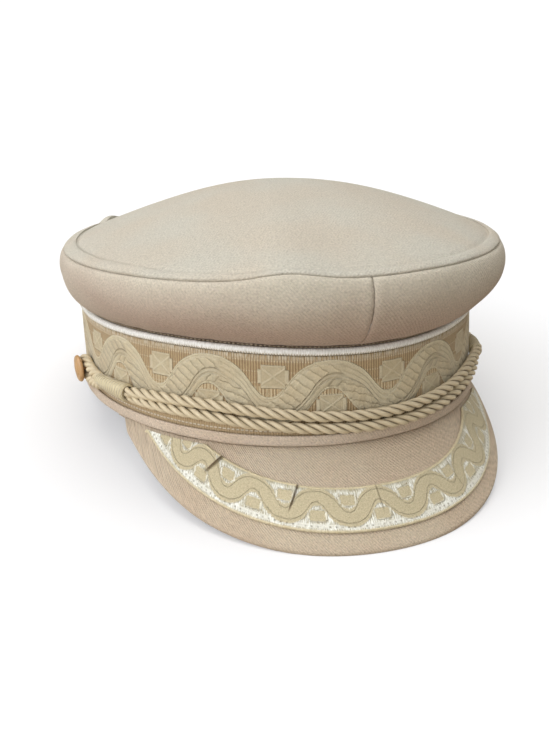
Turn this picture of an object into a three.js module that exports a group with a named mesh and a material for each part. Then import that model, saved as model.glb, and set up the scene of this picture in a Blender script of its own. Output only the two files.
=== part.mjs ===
// A skipper cap: a soft crown with a domed top, a stiff band dressed with a woven ribbon, a sloping peak
// and a double cord held by two side buttons.
// Each cloth piece is worked out in the cap's own frame: the band's lower edge lies in the plane z = 0,
// the front looks along -Y and +Z is up. An angle is measured round the head from the front, and grows
// towards +X. An offset is measured outwards from the head's oval, square to it.
// At the end the whole cap is tipped back until it rests on its peak and on the back of its band.
import * as THREE from "three";

// Driving dimensions, in millimetres and degrees
const HALF_WIDTH = 88.5; // of the oval on the band's outside
const HALF_LENGTH = 101.8;
const BACK_NARROWING = 0.03; // share by which the oval is smaller at the back
const BAND_HEIGHT = 38.5;
const BAND_FLARE = 1.5; // the band's lower edge stands out by this much
const CLOTH = 1.6; // thickness of the crown's cloth
const BAND_WALL = 1.9;
const GAP = 0.3; // between pieces that touch
const RIBBON = 1.0; // thickness of the woven ribbons
const RING_STEPS = 52;
const SEAM_GAP = 0.09; // degrees from a seam of the crown's side to each of its panels

const BINDING = { height: 4.6, thickness: 0.9 };
const SATIN = { height: 2.8, bulge: 0.9 };
const CROWN_FOOT = { offset: -1.2, height: 39.0, allowance: 3.4 }; // where the crown's side leaves the band
const BULGE = { offset: 10.4, front: 4.9, left: 1.1, height: 16.5, frontRise: 4.0, leftRise: 1.3 };
const RIM = { offset: 7.6, front: 4.4, left: 1.1, height: 24.6, frontRise: 3.6, saddle: 0.8, leftRise: 0.5 };
const RIM_FOLD = { angle: -17, width: 9, rise: 2.9 }; // the rim lifts here
const DOME = { height: 23.0, leftShare: 0.0017, backShare: -0.0013, roundness: 0.15 };
const PEAK = {
  halfAngle: 69.5, length: 44.6, shape: 2.35, taper: 1.85, least: 1.6,
  slope: 42, sideSlope: 7, bend: 4.3, thickness: 3.2, flange: 4.0,
};
const PEAK_RIBBON = { margin: 7.6, width: 17.9, root: 1.6 };
const CORD = { diameter: 4.9, offset: 2.8, reach: 78 };
const BUTTON = { angle: 83, height: 12.5, diameter: 11.8, thickness: 4.2, stem: 2.4 };
const LOOP = { radius: 4.7, diameter: 4.4 };

// Height of the two cords along the band
const CORD_HEIGHTS = [
  { angle: -90, upper: 17.4, lower: 8.0 },
  { angle: -78, upper: 17.6, lower: 8.0 },
  { angle: -66, upper: 15.2, lower: 8.1 },
  { angle: -58, upper: 13.9, lower: 8.6 },
  { angle: -46, upper: 15.8, lower: 10.6 },
  { angle: -34, upper: 16.0, lower: 10.8 },
  { angle: -20, upper: 14.9, lower: 9.7 },
  { angle: -5, upper: 12.6, lower: 7.4 },
  { angle: 5, upper: 12.0, lower: 6.8 },
  { angle: 17, upper: 12.9, lower: 7.7 },
  { angle: 30, upper: 14.2, lower: 9.0 },
  { angle: 46, upper: 15.0, lower: 9.6 },
  { angle: 58, upper: 16.6, lower: 9.4 },
  { angle: 78, upper: 17.6, lower: 8.0 },
  { angle: 90, upper: 17.4, lower: 8.0 },
];

// Wound sleeves on the upper cord, from their front end to the end by the button
const SLEEVES = [
  { name: "left", front: -58.5, back: -69.0, height: 14.8 },
  { name: "right", front: 47.0, back: 57.5, height: 15.9 },
];

// How far the piping shows past the rim, and how thick it is there
const PIPING = [
  { angle: -180, width: 5.0, thickness: 2.0 },
  { angle: -100, width: 5.6, thickness: 1.8 },
  { angle: -60, width: 5.0, thickness: 1.8 },
  { angle: -40, width: 3.6, thickness: 1.5 },
  { angle: -17, width: 2.2, thickness: 1.1 },
  { angle: 10, width: 3.4, thickness: 1.9 },
  { angle: 60, width: 4.4, thickness: 2.3 },
  { angle: 180, width: 5.0, thickness: 2.0 },
];

// Pleats in the peak's ribbon
const PLEATS = [{ angle: -39 }, { angle: -19 }, { angle: 5 }, { angle: 30 }];
const PLEAT = { halfWidth: 1.3, rise: 0.8 };

const COLOURS = {
  cloth: 0xc4b29a, ribbon: 0xb09a70, satin: 0xece9e0, peakRibbon: 0xd6cfae, cord: 0xc9bc92, button: 0xc89a64,
};

const radians = THREE.MathUtils.degToRad;

// Small tools

// Reads one column of a table of rows that grow in angle, smoothly between the rows.
function lookUp(rows, degrees, column) {
  const last = rows.length - 1;
  if (degrees <= rows[0].angle) return rows[0][column];
  if (degrees >= rows[last].angle) return rows[last][column];
  const i = rows.findIndex((row) => row.angle > degrees) - 1;
  const share = (degrees - rows[i].angle) / (rows[i + 1].angle - rows[i].angle);
  const eased = share * share * (3 - 2 * share);
  return rows[i][column] * (1 - eased) + rows[i + 1][column] * eased;
}

// The same angle between -180 and 180 degrees.
function wrapped(degrees) {
  return THREE.MathUtils.euclideanModulo(degrees + 180, 360) - 180;
}

function bump(degrees, { angle, width, rise }) {
  return rise * Math.exp(-(((wrapped(degrees) - angle) / width) ** 2));
}

// The point at an angle round the head, an offset outwards from the oval and a height.
function onOval(degrees, offset, height) {
  const t = radians(degrees);
  const sin = Math.sin(t);
  const cos = Math.cos(t);
  const share = 1 - (BACK_NARROWING * (1 - cos)) / 2;
  const change = (-BACK_NARROWING * sin) / 2;
  const dx = HALF_WIDTH * (change * sin + share * cos);
  const dy = -HALF_LENGTH * (change * cos - share * sin);
  const size = Math.hypot(dx, dy);
  return new THREE.Vector3(
    HALF_WIDTH * share * sin + (offset * dy) / size,
    -HALF_LENGTH * share * cos - (offset * dx) / size,
    height,
  );
}

function outwards(degrees) {
  return onOval(degrees, 1, 0).sub(onOval(degrees, 0, 0)).normalize();
}

// The band's wall leans: this is how far it stands out at a height.
function flare(height) {
  return BAND_FLARE * Math.max(0, 1 - height / BAND_HEIGHT);
}

function toGeometry(points, triangles) {
  const geometry = new THREE.BufferGeometry();
  geometry.setAttribute("position", new THREE.Float32BufferAttribute(points.flatMap((p) => [p.x, p.y, p.z]), 3));
  geometry.setIndex(triangles.flat());
  geometry.computeVertexNormals();
  return geometry;
}

// Triangles that fill a flat section, all turning the way its points do.
function fill(section) {
  const contour = section.map(([offset, height]) => new THREE.Vector2(offset, height));
  return THREE.ShapeUtils.triangulateShape(contour, []).map(([a, b, c]) => (
    THREE.ShapeUtils.area([contour[a], contour[b], contour[c]]) > 0 ? [a, b, c] : [a, c, b]
  ));
}

// A solid through a row of sections with the same number of points. A section lists [offset, height],
// first along its lower side outwards, then back along its upper side. A ring closes on itself, and an
// open loft gets a flat cap at each end.
function loft(angles, sectionAt, isRing) {
  const sections = angles.map((degrees) => sectionAt(degrees).map(([o, h]) => onOval(degrees, o, h)));
  const n = sections[0].length;
  const triangles = [];
  const spans = isRing ? sections.length : sections.length - 1;
  for (let i = 0; i < spans; i += 1) {
    const here = i * n;
    const there = ((i + 1) % sections.length) * n;
    for (let j = 0; j < n; j += 1) {
      const k = (j + 1) % n;
      triangles.push([here + j, there + j, there + k], [here + j, there + k, here + k]);
    }
  }
  if (!isRing) {
    const last = (sections.length - 1) * n;
    triangles.push(...fill(sectionAt(angles[0])));
    triangles.push(...fill(sectionAt(angles.at(-1))).map(([a, b, c]) => [last + a, last + c, last + b]));
  }
  return toGeometry(sections.flat(), triangles);
}

function ring(sectionAt) {
  const angles = Array.from({ length: RING_STEPS }, (_, i) => -180 + (i * 360) / RING_STEPS);
  return loft(angles, sectionAt, true);
}

// Evenly spaced numbers from a to b, both included.
function spread(a, b, count) {
  return Array.from({ length: count }, (_, i) => a + ((b - a) * i) / (count - 1));
}

// A round tube with a many-sided section along a smooth curve.
function tube(points, diameter, steps, sides) {
  const section = new THREE.Shape(
    spread(0, 360, sides + 1).slice(0, sides).map((a) => new THREE.Vector2(
      (diameter / 2) * Math.cos(radians(a)),
      (diameter / 2) * Math.sin(radians(a)),
    )),
  );
  const curve = new THREE.CatmullRomCurve3(points, false, "centripetal");
  return new THREE.ExtrudeGeometry(section, { steps, extrudePath: curve, bevelEnabled: false });
}

// Crown

function bulgeAt(degrees) {
  const t = radians(degrees);
  return {
    offset: BULGE.offset + BULGE.front * Math.cos(t) + BULGE.left * Math.sin(t),
    height: BAND_HEIGHT + BULGE.height + BULGE.frontRise * Math.cos(t) + BULGE.leftRise * Math.sin(t),
  };
}

function rimAt(degrees) {
  const t = radians(degrees);
  return {
    offset: RIM.offset + RIM.front * Math.cos(t) + RIM.left * Math.sin(t),
    height: BAND_HEIGHT + RIM.height + RIM.frontRise * Math.cos(t) + RIM.saddle * Math.cos(2 * t)
      + RIM.leftRise * Math.sin(t) + bump(degrees, RIM_FOLD),
  };
}

// One face of the crown's side, from the band up to the rim. Inset moves it inwards.
function sideFace(degrees, inset) {
  const bulge = bulgeAt(degrees);
  const rim = rimAt(degrees);
  const foot = { offset: CROWN_FOOT.offset - inset, height: CROWN_FOOT.height + inset * 0.6 };
  const wide = bulge.offset - inset;
  const lower = spread(0, 90, 6).map((a) => [
    foot.offset + (wide - foot.offset) * Math.sin(radians(a)) ** 1.15,
    bulge.height - (bulge.height - foot.height) * Math.cos(radians(a)) ** 1.15,
  ]);
  const top = rim.height - inset * 0.9;
  const upper = spread(0, 80, 4).slice(1).map((a) => [
    rim.offset - inset + (bulge.offset - rim.offset) * Math.cos(radians(a)),
    bulge.height + (top - bulge.height) * Math.sin(radians(a)),
  ]);
  return lower.concat(upper);
}

// One of the side's two panels, which meet at the front and at the back. Its seam allowance hangs down
// inside the band.
function crownSide(from, to) {
  const wall = -RIBBON - BAND_WALL - 2 * GAP;
  const hem = BAND_HEIGHT - CROWN_FOOT.allowance;
  const angles = spread(from + SEAM_GAP, to - SEAM_GAP, RING_STEPS / 2 + 1);
  return loft(angles, (degrees) => {
    const outside = sideFace(degrees, 0);
    const inside = sideFace(degrees, CLOTH).reverse();
    const allowance = [
      [wall - CLOTH, CROWN_FOOT.height + CLOTH * 0.6], [wall - CLOTH, hem], [wall, hem],
      [wall, BAND_HEIGHT + GAP],
    ];
    return [...outside, ...inside, ...allowance];
  }, false);
}

// Height of the domed top above the band's lower plane. Share is 0 at the middle and 1 at the rim.
function topHeight(degrees, share) {
  const rim = rimAt(degrees);
  const edge = onOval(degrees, rim.offset, 0);
  const middle = BAND_HEIGHT + RIM.height;
  const cosine = 0.5 + 0.5 * Math.cos(Math.PI * share);
  const form = DOME.roundness * cosine + (1 - DOME.roundness) * (1 - share ** 2);
  const lean = 1 + share * (DOME.leftShare * edge.x + DOME.backShare * edge.y);
  return middle + (rim.height - middle) * share ** 2 + DOME.height * form * lean;
}

function crownTop() {
  const shares = [0.2, 0.42, 0.62, 0.8, 0.93, 1];
  const count = RING_STEPS;
  const points = [];
  const ringOf = (share, drop) => {
    for (let i = 0; i < count; i += 1) {
      const degrees = (i * 360) / count;
      const edge = onOval(degrees, rimAt(degrees).offset - CLOTH - GAP, 0);
      points.push(new THREE.Vector3(edge.x * share, edge.y * share, topHeight(degrees, share) - drop));
    }
  };
  shares.forEach((share) => ringOf(share, 0));
  [...shares].reverse().forEach((share) => ringOf(share, CLOTH));
  const rings = shares.length * 2;
  const triangles = [];
  for (let r = 0; r < rings - 1; r += 1) {
    for (let i = 0; i < count; i += 1) {
      const a = r * count + i;
      const b = r * count + ((i + 1) % count);
      triangles.push([a, a + count, b + count], [a, b + count, b]);
    }
  }
  const top = points.push(new THREE.Vector3(0, 0, topHeight(0, 0))) - 1;
  const under = points.push(new THREE.Vector3(0, 0, topHeight(0, 0) - CLOTH)) - 1;
  const lastRing = (rings - 1) * count;
  for (let i = 0; i < count; i += 1) {
    const next = (i + 1) % count;
    triangles.push([top, i, next], [under, lastRing + next, lastRing + i]);
  }
  return toGeometry(points, triangles);
}

// A folded strip of the crown's cloth, sewn into the rim and lying over the edge of the top.
function crownPiping() {
  return ring((degrees) => {
    const rim = rimAt(degrees);
    const edge = onOval(degrees, rim.offset, 0);
    const reach = Math.hypot(edge.x, edge.y);
    const width = lookUp(PIPING, wrapped(degrees), "width");
    const thickness = lookUp(PIPING, wrapped(degrees), "thickness");
    const at = (inwards, above) => {
      const share = Math.min(1, 1 - inwards / reach);
      return [rim.offset - inwards, topHeight(degrees, share) + above];
    };
    const floor = GAP + 0.25;
    return [
      at(width, floor), at(width / 2, floor), at(-0.1, floor),
      at(-0.5, floor + thickness * 0.45), at(0.2, floor + thickness * 0.9),
      at(width / 2, floor + thickness), at(width - 0.6, floor + thickness * 0.9), at(width + 0.3, floor + 0.5),
    ];
  });
}

// Band

function band() {
  const outside = -RIBBON - GAP;
  const inside = outside - BAND_WALL;
  const foot = BINDING.thickness + GAP;
  const head = BAND_HEIGHT;
  return ring(() => [
    [inside + flare(foot), foot], [outside + flare(foot), foot], [outside, head], [inside, head],
  ]);
}

function bandRibbon() {
  const foot = BINDING.height - 0.8;
  const head = BAND_HEIGHT - SATIN.height - GAP;
  return ring(() => [
    [-RIBBON + flare(foot), foot], [flare(foot), foot], [flare(head), head], [-RIBBON + flare(head), head],
  ]);
}

// A rolled edge of satin along the top of the band.
function satinEdge() {
  const foot = BAND_HEIGHT - SATIN.height;
  const middle = BAND_HEIGHT - SATIN.height / 2;
  return ring(() => [
    [-RIBBON, foot], [0.1, foot], [SATIN.bulge, middle - 0.5],
    [SATIN.bulge, middle + 0.5], [0.1, BAND_HEIGHT + 0.1], [-RIBBON, BAND_HEIGHT + 0.1],
  ]);
}

// A strip of the crown's cloth folded round the band's lower edge.
function bandBinding() {
  const thickness = BINDING.thickness;
  const lean = BAND_FLARE;
  const wallIn = -RIBBON - GAP - BAND_WALL;
  const out = 0.3 + lean;
  const inner = wallIn - GAP + lean;
  const head = BINDING.height;
  return ring(() => [
    [inner - thickness, 0], [lean, 0], [out + thickness - 0.4, 0],
    [out + thickness, 0.5], [out + thickness - 0.2, head - 0.5], [out + 0.2, head], [out, head - 1.6],
    [lean - RIBBON, head - 1.6], [lean - RIBBON, thickness], [inner, thickness], [inner, head],
    [inner - thickness, head],
  ]);
}

// Peak

function peakLength(degrees) {
  const share = Math.min(1, Math.abs(degrees) / PEAK.halfAngle);
  return PEAK.least + (PEAK.length - PEAK.least) * (1 - share ** PEAK.shape) ** PEAK.taper;
}

// A point over the peak, by the distance along it from the band and the height square to its surface.
function overPeak(degrees, along, above) {
  const length = peakLength(degrees);
  const share = degrees / PEAK.halfAngle;
  const first = radians(PEAK.slope + PEAK.sideSlope * share ** 2 - PEAK.bend);
  const turn = radians(2 * PEAK.bend) / length;
  const slope = first + turn * along;
  return [
    BAND_FLARE + (Math.sin(slope) - Math.sin(first)) / turn + above * Math.sin(slope),
    -GAP + (Math.cos(slope) - Math.cos(first)) / turn + above * Math.cos(slope),
  ];
}

// A stiff board covered with cloth. Its root is a flange that lies under the band.
function peak() {
  const radius = PEAK.thickness / 2;
  const angles = spread(-PEAK.halfAngle, PEAK.halfAngle, 31);
  return loft(angles, (degrees) => {
    const end = Math.max(peakLength(degrees) - radius, 0.1);
    const stations = spread(0, end, 6);
    const lower = stations.map((s) => overPeak(degrees, s, -PEAK.thickness));
    const upper = stations.map((s) => overPeak(degrees, s, 0)).reverse();
    const edge = spread(-60, 60, 4).map((a) => overPeak(
      degrees,
      end + radius * Math.cos(radians(a)),
      -radius + radius * Math.sin(radians(a)),
    ));
    const root = BAND_FLARE - PEAK.flange;
    return [[root, -GAP - PEAK.thickness * 0.8], ...lower, ...edge, ...upper, [root, -GAP]];
  }, false);
}

// The ribbon on the peak follows its edge, and its pleats stand a little proud.
function peakRibbon() {
  const reach = 60;
  const plain = spread(-reach, reach, 31);
  const pleated = PLEATS.flatMap(({ angle }) => [-1, 0, 1].map((side) => angle + side * PLEAT.halfWidth));
  const clear = (a) => PLEATS.every(({ angle }) => Math.abs(a - angle) > PLEAT.halfWidth + 0.8);
  const angles = plain.filter(clear).concat(pleated).sort((a, b) => a - b);
  return loft(angles, (degrees) => {
    const outer = Math.max(peakLength(degrees) - PEAK_RIBBON.margin, PEAK_RIBBON.root + 1.2);
    const inner = Math.max(outer - PEAK_RIBBON.width, PEAK_RIBBON.root);
    const onPleat = PLEATS.some(({ angle }) => Math.abs(degrees - angle) < 0.01);
    const top = GAP + RIBBON + (onPleat ? PLEAT.rise : 0);
    const stations = spread(inner, outer, 4);
    const lower = stations.map((s) => overPeak(degrees, s, GAP));
    const upper = stations.map((s) => overPeak(degrees, s, top)).reverse();
    return [...lower, ...upper];
  }, false);
}

// Cords, sleeves and buttons

function cordPoint(degrees, column) {
  const height = lookUp(CORD_HEIGHTS, degrees, column);
  return onOval(degrees, CORD.offset + flare(height), height);
}

function cord(column, from, to) {
  const points = spread(from, to, 40).map((degrees) => cordPoint(degrees, column));
  return tube(points, CORD.diameter, 44, 8);
}

// Turns of thread wound round the cord, thicker towards the front end.
function sleeve({ front, back, height }) {
  const angles = spread(Math.min(front, back), Math.max(front, back), 7);
  return loft(angles, (degrees) => {
    const share = (degrees - back) / (front - back);
    const radial = 2.7 + 0.6 * share;
    const upright = 2.6 + 0.4 * share;
    const middle = height + 0.9 * (1 - share);
    const centre = CORD.offset + 0.7 + flare(middle);
    return spread(-162, 162, 10).map((a) => [
      centre + radial * Math.cos(radians(a)),
      middle + upright * Math.sin(radians(a)),
    ]);
  }, false);
}

// The cord from a sleeve round the back of the button to the end of the lower cord.
function cordLoop(side, from) {
  const perDegree = onOval(BUTTON.angle, 0, 0).distanceTo(onOval(BUTTON.angle + 1, 0, 0));
  const at = (degrees, height) => onOval(side * degrees, CORD.offset + flare(height), height);
  const start = Math.abs(from) + 0.25;
  const lead = spread(start, BUTTON.angle - 3, 5).map((a) => at(a, lookUp(CORD_HEIGHTS, side * a, "upper")));
  const round = spread(80, -80, 9).map((a) => at(
    BUTTON.angle + (LOOP.radius / perDegree) * Math.cos(radians(a)),
    BUTTON.height + 0.1 + LOOP.radius * Math.sin(radians(a)),
  ));
  const tail = [at(BUTTON.angle - 2.5, 8.0), at(CORD.reach + 0.5, 8.0)];
  return tube([...lead, ...round, ...tail], LOOP.diameter, 28, 8);
}

function button() {
  const radius = BUTTON.diameter / 2;
  const rise = BUTTON.thickness;
  const foot = -5.5;
  const profile = [
    [0, foot], [BUTTON.stem / 2, foot], [BUTTON.stem / 2, 0], [radius * 0.8, 0], [radius * 0.97, rise * 0.2],
    [radius, rise * 0.42], [radius * 0.88, rise * 0.72], [radius * 0.55, rise * 0.94], [0, rise],
  ];
  return new THREE.LatheGeometry(profile.map(([r, y]) => new THREE.Vector2(r, y)), 16);
}

// Assembly

const cap = new THREE.Group();

function material(colour, roughness) {
  return new THREE.MeshStandardMaterial({ color: colour, roughness, metalness: 0 });
}

function add(name, geometry, colour, roughness = 0.9) {
  const mesh = new THREE.Mesh(geometry, material(colour, roughness));
  mesh.name = name;
  cap.add(mesh);
  return mesh;
}

// The floor in the cap's own frame: a plane through the back of the band and the edge of the peak,
// raised a little because the cloth is pressed flat where it rests.
const peakTip = overPeak(0, peakLength(0) - PEAK.thickness / 2, -PEAK.thickness);
const tipPoint = onOval(0, peakTip[0], peakTip[1]);
const backPoint = onOval(180, BAND_FLARE + BINDING.thickness, 0);
const TILT = Math.atan2(backPoint.z - tipPoint.z, backPoint.y - tipPoint.y);
const PRESSED = 0.8;
const floorNormal = new THREE.Vector3(0, -Math.sin(TILT), Math.cos(TILT));
const floorPlane = new THREE.Plane().setFromNormalAndCoplanarPoint(
  floorNormal,
  backPoint.clone().addScaledVector(floorNormal, PRESSED),
);

function pressFlat(geometry) {
  const position = geometry.getAttribute("position");
  const point = new THREE.Vector3();
  for (let i = 0; i < position.count; i += 1) {
    point.fromBufferAttribute(position, i);
    const below = -floorPlane.distanceToPoint(point);
    if (below > 0) position.setXYZ(i, ...point.addScaledVector(floorNormal, below).toArray());
  }
  return geometry;
}

add("crown_top", crownTop(), COLOURS.cloth);
add("crown_side_left", crownSide(-180, 0), COLOURS.cloth);
add("crown_side_right", crownSide(0, 180), COLOURS.cloth);
add("crown_piping", crownPiping(), COLOURS.cloth);
add("band", band(), COLOURS.cloth);
add("band_ribbon", bandRibbon(), COLOURS.ribbon, 0.75);
add("satin_edge", satinEdge(), COLOURS.satin, 0.45);
add("band_binding", pressFlat(bandBinding()), COLOURS.cloth);
add("peak", pressFlat(peak()), COLOURS.cloth);
add("peak_ribbon", peakRibbon(), COLOURS.peakRibbon, 0.6);
add("cord_upper", cord("upper", SLEEVES[0].front + 0.2, SLEEVES[1].front - 0.2), COLOURS.cord, 0.6);
add("cord_lower", cord("lower", -CORD.reach, CORD.reach), COLOURS.cord, 0.6);
for (const row of SLEEVES) {
  const side = Math.sign(row.back);
  add(`cord_sleeve_${row.name}`, sleeve(row), COLOURS.cord, 0.6);
  add(`cord_loop_${row.name}`, cordLoop(side, row.back), COLOURS.cord, 0.6);
  const knob = add(`button_${row.name}`, button(), COLOURS.button, 0.4);
  const direction = outwards(side * BUTTON.angle);
  knob.position.copy(onOval(side * BUTTON.angle, 5.9 + flare(BUTTON.height), BUTTON.height));
  knob.quaternion.setFromUnitVectors(new THREE.Vector3(0, 1, 0), direction);
}

cap.rotation.x = -TILT;
cap.updateMatrixWorld(true);
const box = new THREE.Box3().setFromObject(cap, true);
cap.position.set(-(box.min.x + box.max.x) / 2, -(box.min.y + box.max.y) / 2, -box.min.z);

export default cap;
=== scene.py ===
"""A skipper cap of beige twill: soft crown, ribboned band and peak, and a twisted double cord.

Each piece is worked out in the cap's own frame, in millimetres: the band's lower edge lies in the plane
z = 0, the front looks along -Y and +Z is up. An angle is measured round the head from the front, in
degrees, and grows towards +X. An offset is measured outwards from the head's oval. Left and right are
those of someone who looks at the cap's front, with +X on the right. The pieces are then tipped back with
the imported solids, and turned into metres.
"""
import math

import bpy
import numpy as np
from mathutils import Matrix, Vector


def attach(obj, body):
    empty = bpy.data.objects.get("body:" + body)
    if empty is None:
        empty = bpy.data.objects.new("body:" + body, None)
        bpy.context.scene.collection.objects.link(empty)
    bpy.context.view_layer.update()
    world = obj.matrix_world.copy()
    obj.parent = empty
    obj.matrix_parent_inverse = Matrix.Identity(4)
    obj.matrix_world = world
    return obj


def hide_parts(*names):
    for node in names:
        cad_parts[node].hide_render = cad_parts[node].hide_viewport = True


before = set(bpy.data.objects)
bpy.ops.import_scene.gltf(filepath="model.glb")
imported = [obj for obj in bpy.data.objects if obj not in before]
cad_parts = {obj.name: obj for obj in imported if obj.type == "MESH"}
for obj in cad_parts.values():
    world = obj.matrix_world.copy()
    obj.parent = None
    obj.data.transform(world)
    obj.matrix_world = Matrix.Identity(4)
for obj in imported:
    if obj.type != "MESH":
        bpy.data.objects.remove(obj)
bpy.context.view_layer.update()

# How the cap rests: tipped back, with its outline's middle over the origin
TILT = math.radians(7.586)
TILT_SIN, TILT_COS = math.sin(TILT), math.cos(TILT)
PLACE = np.array([-0.464, 14.043, 12.553])

# Driving dimensions, nearly all as in the solids
HALF_WIDTH = 88.5
HALF_LENGTH = 101.8
BACK_NARROWING = 0.03
BAND_HEIGHT = 38.5
BAND_FLARE = 1.5
CLOTH = 1.6
BAND_WALL = 1.9
GAP = 0.3
RIBBON = 1.0
BINDING_HEIGHT = 4.6
BINDING_THICKNESS = 0.9
SATIN_HEIGHT = 2.8
SATIN_BULGE = 1.25
CROWN_FOOT = {"offset": -1.5, "height": 39.5, "allowance": 3.4}
BULGE = {"offset": 10.4, "front": 4.9, "right": 1.1, "height": 16.5, "front_rise": 4.0, "right_rise": 1.3}
RIM = {"offset": 7.6, "front": 4.4, "right": 1.1, "height": 24.6, "front_rise": 3.6, "right_rise": 1.4,
       "saddle": 0.8}
RIM_FOLD = {"angle": -17, "width": 9, "rise": 2.9}
DOME = {"height": 23.0, "right_share": 0.0017, "back_share": -0.0013, "roundness": 0.15}
PEAK = {"half_angle": 69.5, "length": 44.6, "shape": 2.35, "taper": 1.85, "least": 1.6, "slope": 42,
        "side_slope": 7, "bend": 4.3, "thickness": 3.2, "flange": 4.0}
# The ribbon's length is measured along its middle, with its outer edge at the line margin
PEAK_RIBBON = {"margin": 8.0, "line_margin": 7.6, "lean": 0.012, "width": 17.9, "root": 1.6, "reach": 54.2}
# The twisted cord and its loops: strand is a strand's radius as a share of the cord's diameter, and lay is
# the length of one full twist
STRANDS = 3
CORD = {"diameter": 4.4, "strand": 0.238, "sides": 14, "offset": 2.5, "lay": 15.9, "parted": 0.13}
LOOP = {"diameter": 4.7, "strand": 0.25, "sides": 12, "offset": 2.6, "lay": 12.4}
BUTTON = {"angle": 83, "height": 12.5, "diameter": 11.8, "offset": 5.3, "thickness": 2.8, "stem": 2.4}
# The button's outline from its back to near its middle, as shares of its radius and thickness
BUTTON_PROFILE = [
    (0.8, 0.0), (0.97, 0.18), (1.0, 0.42), (0.9, 0.7), (0.74, 0.74), (0.66, 0.7), (0.5, 0.88), (0.25, 0.98),
]

# How the soft cap has settled: how far its upper edge rises in four waves, between which heights, and
# how far the band leans in below on the left
SWAY = {"lift": 0.3, "wave": 0.9, "shift": 60, "from": 12, "full": 34, "until": 42, "gone": 56}
LEAN_IN = {"depth": 1.8, "angle": -97, "width": 34, "height": 40}

# How uneven each cloth is: the size of its waves, the seed of their random draws and how far they go
UNEVEN = {
    "top": (55, 3, 0.35), "side": (38, 11, 0.35), "side_small": (17, 12, 0.12), "puckers": (60, 13, 3),
    "piping": (24, 5, 0.1), "band_ribbon": (46, 21, 0.12), "binding": (21, 31, 0.12), "peak": (30, 41, 0.12),
    "peak_ribbon": (15, 51, 0.1),
}
# How many steps round the head each piece is drawn with
STEPS = {"top": 400, "piping": 520, "band": 240, "band_ribbon": 480, "satin": 1400, "binding": 420}
STITCH = {"count": 330, "length": 0.6, "width": 0.55, "offset": -0.55, "height": 38.95}

# The two cords' course along the band: angle, height of the upper cord, height of the lower cord.
# At both ends they run together into a wound sleeve.
CORD_COURSE = [
    (-64, 12.8, 12.2), (-60, 13.3, 11.6), (-56.5, 14.1, 11.2), (-50, 15.0, 11.3), (-44, 15.4, 11.4),
    (-38, 15.6, 11.3), (-32, 15.3, 10.8), (-25.6, 14.6, 9.8), (-19.3, 13.9, 9.1), (-12.9, 12.9, 8.3),
    (-6.5, 12.2, 7.7), (0, 11.6, 7.1), (6.5, 11.3, 6.8), (12.9, 11.5, 6.8), (19.3, 12.1, 7.2),
    (25.6, 12.8, 8.0), (32, 13.7, 9.2), (39, 15.1, 10.4), (45, 15.9, 11.3), (50, 16.1, 12.3),
    (55, 16.0, 13.4), (60, 15.7, 14.4),
]
# Sleeves wound round both cords: name, front end, back end, height at the front and at the back, and
# how thick it is against the left one
SLEEVES = [("left", -59.3, -73.5, 13.0, 12.7, 1.0), ("right", 56.0, 70.0, 15.4, 14.6, 0.8)]
# A sleeve's half width and height at its back, how much wider it is at the front, the width and slant of
# its turns of thread, and how far it stands out past the cords
SLEEVE = {"across": 2.55, "upright": 2.7, "wider": 0.75, "turn": 1.9, "slant": 1.1, "out": 0.9}
# The cord from a sleeve round behind its button and back: angle, height
LOOP_COURSE = [
    (70.0, 12.6), (73.5, 12.7), (77.0, 13.1), (80.0, 13.9), (82.6, 15.2), (85.2, 15.3), (86.6, 13.2),
    (86.2, 10.6), (84.0, 9.2), (81.0, 8.8), (77.5, 8.7), (74.0, 9.4), (70.0, 11.6),
]
# How wide the piping is inwards from the rim, and how thick it is there
PIPING = {
    "angle": [-180, -100, -60, -40, -17, 10, 60, 180],
    "width": [5.0, 5.6, 5.0, 3.6, 2.2, 3.4, 4.4, 5.0],
    "thickness": [2.0, 2.0, 2.4, 2.2, 1.5, 1.9, 2.3, 2.0],
}
# Where the piping swells and is pinched beside it: angle, width, share of its thickness
PINCH = [(-134, 3.5, 0.9), (-129, 2.5, -0.6)]
# Pleats in the peak's ribbon: where each starts at the inner edge and ends, as length along the
# ribbon's middle and distance from the peak's edge, and how far it stands up
PLEATS = [
    {"from": (-63.8, 28.4), "to": (-72.4, 14.4), "rise": 1.0},
    {"from": (-30.9, 26.6), "to": (-35.2, 13.4), "rise": 0.9},
    {"from": (0.9, 25.6), "to": (1.3, 13.5), "rise": 0.35},
    {"from": (39.2, 25.2), "to": (40.3, 11.0), "rise": 0.55},
]

# The ribbons' pattern: a wave with a notched square in each hollow, the same after half a turn
PATTERN = {
    "period": 47.5, "crest": -10.0, "middle": 21.15, "square_past_crest": 25.4,
    # outline of the wave's outer side from crest to hollow: length, height over the ribbon's middle
    "length": [0.0, 5.0, 8.0, 12.0, 15.0, 17.0, 19.5, 22.0, 24.6],
    "height": [12.95, 12.45, 11.4, 9.2, 6.6, 4.1, 1.1, -1.1, -1.75],
    # height of a square's middle over the ribbon's middle
    "square": 6.1,
}
PEAK_PATTERN = {
    "period": 24.4, "crest": 0.5, "middle": 17.7, "across": 0.56, "soft": 0.18, "grown": 1.2, "broad": 1.22,
}
# How the midrib of the wave's leaf rises from its left end to its right end, as shares
LEAF_RIB = ([0, 0.13, 0.30, 0.44, 0.59, 0.74, 0.89, 1], [0.0, 0.12, 0.42, 0.74, 0.92, 0.94, 0.84, 0.74])

# The twill's ridges, its threads both ways and its patches of colour: the size of each in millimetres
TWILL = {"ridge": 1.02, "thread_along": 0.62, "thread_across": 0.66, "patch": 46.0}

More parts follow.
